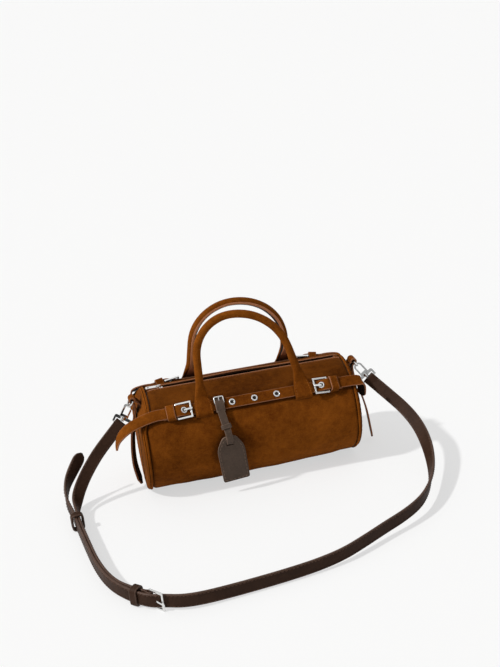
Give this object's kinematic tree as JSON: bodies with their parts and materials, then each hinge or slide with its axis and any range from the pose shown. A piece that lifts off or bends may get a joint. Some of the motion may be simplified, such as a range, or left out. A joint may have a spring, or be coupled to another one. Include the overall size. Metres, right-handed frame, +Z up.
{
  "type": "barrel handbag",
  "caption": "Suede barrel handbag with a top zip, buckled side belts, rolled handles, a hanging tag and a clip-on leather shoulder strap.",
  "frame": {"origin": "on the ground under the middle of the barrel", "axes": "+X along the barrel to the right, +Y to the back, +Z up"},
  "size_m": [0.4321, 0.339, 0.2111],
  "materials": {
    "suede": "brushed nap, matte",
    "lining_cloth": "woven, matte",
    "board": "stiff covered board",
    "zip_tape": "woven, matte",
    "hardware": "polished",
    "tag_leather": "smooth, satin",
    "strap_leather": "fine grain, satin"
  },
  "bodies": {
    "bag": {"base_board": "board", "belt_keeper_front_left": "suede", "belt_keeper_front_right": "suede", "belt_keeper_rear_left": "suede", "belt_keeper_rear_right": "suede", "body_panel": "suede", "buckle_base_front_left": "suede", "buckle_base_front_right": "suede", "buckle_base_rear_left": "suede", "buckle_base_rear_right": "suede", "buckle_front_left": "hardware", "buckle_front_right": "hardware", "buckle_rear_left": "hardware", "buckle_rear_right": "hardware", "end_panel_left": "suede", "end_panel_right": "suede", "front_belt": "suede", "front_belt_eyelets": "hardware", "handle_tab_front_left": "suede", "handle_tab_front_right": "suede", "handle_tab_rear_left": "suede", "handle_tab_rear_right": "suede", "lining": "lining_cloth", "piping_left": "suede", "piping_right": "suede", "rear_belt": "suede", "rear_belt_eyelets": "hardware", "ring_tab_left": "suede", "ring_tab_right": "suede", "strap_buckle": "hardware", "strap_fixed_keeper": "strap_leather", "strap_long": "strap_leather", "strap_short": "strap_leather", "tag_buckle": "hardware", "tag_loop": "tag_leather", "zip_chain_front": "hardware", "zip_chain_rear": "hardware", "zip_tape_front": "zip_tape", "zip_tape_rear": "zip_tape"},
    "zip_slider": {"zip_slider": "hardware"},
    "zip_pull": {"zip_pull": "hardware"},
    "front_handle": {"front_handle": "suede"},
    "rear_handle": {"rear_handle": "suede"},
    "tag": {"tag_strap": "tag_leather", "tag_keeper": "tag_leather", "tag_panel": "tag_leather"},
    "ring_left": {"d_ring_left": "hardware"},
    "ring_right": {"d_ring_right": "hardware"},
    "hook_left": {"snap_hook_left": "hardware"},
    "hook_right": {"snap_hook_right": "hardware"},
    "gate_left": {"hook_gate_left": "hardware"},
    "gate_right": {"hook_gate_right": "hardware"},
    "eye_left": {"swivel_eye_left": "hardware"},
    "eye_right": {"swivel_eye_right": "hardware"},
    "strap_prong": {"strap_prong": "hardware"},
    "strap_sliding_keeper": {"strap_sliding_keeper": "strap_leather"},
    "prong_front_left": {"prong_front_left": "hardware"},
    "prong_front_right": {"prong_front_right": "hardware"},
    "prong_rear_left": {"prong_rear_left": "hardware"},
    "prong_rear_right": {"prong_rear_right": "hardware"}
  },
  "joints": [
    {"name": "zip_slide", "type": "slide", "parent": "bag", "child": "zip_slider", "axis": [1, 0, 0], "range_m": [0, 0.205], "deforming": ["zip_chain_front", "zip_chain_rear", "zip_tape_front", "zip_tape_rear"]},
    {"name": "zip_pull_flip", "type": "hinge", "parent": "zip_slider", "child": "zip_pull", "pos_m": [-0.104, 0, 0.1234], "axis": [0, 1, 0], "range_deg": [0, 150]},
    {"name": "front_handle_fold", "type": "hinge", "parent": "bag", "child": "front_handle", "pos_m": [0, -0.03716, 0.12062], "axis": [1, 0, 0], "range_deg": [-10, 100]},
    {"name": "rear_handle_fold", "type": "hinge", "parent": "bag", "child": "rear_handle", "pos_m": [0, 0.03716, 0.12062], "axis": [-1, 0, 0], "range_deg": [-10, 100]},
    {"name": "prong_front_right_lift", "type": "hinge", "parent": "bag", "child": "prong_front_right", "pos_m": [0.0914, -0.04535, 0.10648], "axis": [0, 0.712, 0.7022], "range_deg": [0, 30]},
    {"name": "prong_front_left_lift", "type": "hinge", "parent": "bag", "child": "prong_front_left", "pos_m": [-0.0914, -0.04535, 0.10648], "axis": [0, -0.712, -0.7022], "range_deg": [0, 30]},
    {"name": "prong_rear_left_lift", "type": "hinge", "parent": "bag", "child": "prong_rear_left", "pos_m": [-0.0914, 0.04535, 0.10648], "axis": [0, -0.712, 0.7022], "range_deg": [0, 30]},
    {"name": "prong_rear_right_lift", "type": "hinge", "parent": "bag", "child": "prong_rear_right", "pos_m": [0.0914, 0.04535, 0.10648], "axis": [0, 0.712, -0.7022], "range_deg": [0, 30]},
    {"name": "tag_swing", "type": "hinge", "parent": "bag", "child": "tag", "pos_m": [-0.041, -0.05332, 0.10005], "axis": [-1, 0, 0], "range_deg": [0, 80]},
    {"name": "ring_right_swing", "type": "hinge", "parent": "bag", "child": "ring_right", "pos_m": [0.1377, 0, 0.113], "axis": [0, -1, 0], "range_deg": [0, 50], "deforming": ["strap_long"]},
    {"name": "hook_right_slide_round", "type": "hinge", "parent": "ring_right", "child": "hook_right", "pos_m": [0.1377, 0, 0.113], "axis": [0.8039, 0, 0.5948], "range_deg": [-10, 40], "deforming": ["strap_long"]},
    {"name": "gate_right_open", "type": "hinge", "parent": "hook_right", "child": "gate_right", "pos_m": [0.14495, -0.00567, 0.09598], "axis": [0.1789, 0.9537, -0.2417], "range_deg": [0, 25], "stiffness_Nm_per_rad": 0.02, "springref_deg": -11.46},
    {"name": "eye_right_swivel", "type": "hinge", "parent": "hook_right", "child": "eye_right", "pos_m": [0.1377, 0, 0.113], "axis": [0.5673, -0.3007, -0.7667], "range_deg": [-60, 60], "deforming": ["strap_long"]},
    {"name": "ring_left_swing", "type": "hinge", "parent": "bag", "child": "ring_left", "pos_m": [-0.1377, 0, 0.113], "axis": [0, 1, 0], "range_deg": [0, 50], "deforming": ["strap_short"]},
    {"name": "hook_left_slide_round", "type": "hinge", "parent": "ring_left", "child": "hook_left", "pos_m": [-0.1377, 0, 0.113], "axis": [0.8039, 0, -0.5948], "range_deg": [-10, 40], "deforming": ["strap_short"]},
    {"name": "gate_left_open", "type": "hinge", "parent": "hook_left", "child": "gate_left", "pos_m": [-0.14495, -0.00567, 0.09598], "axis": [0.1789, -0.9537, 0.2417], "range_deg": [0, 25], "stiffness_Nm_per_rad": 0.02, "springref_deg": -11.46},
    {"name": "eye_left_swivel", "type": "hinge", "parent": "hook_left", "child": "eye_left", "pos_m": [-0.1377, 0, 0.113], "axis": [0.5673, 0.3007, 0.7667], "range_deg": [-60, 60], "deforming": ["strap_short"]},
    {"name": "strap_prong_lift", "type": "hinge", "parent": "bag", "child": "strap_prong", "pos_m": [-0.16368, -0.25651, 0.0105], "axis": [0, 0, -1], "range_deg": [0, 20]},
    {"name": "strap_keeper_slide", "type": "slide", "parent": "bag", "child": "strap_sliding_keeper", "axis": [-0.1104, 0.9939, 0], "range_m": [-0.005, 0.005]}
  ]
}
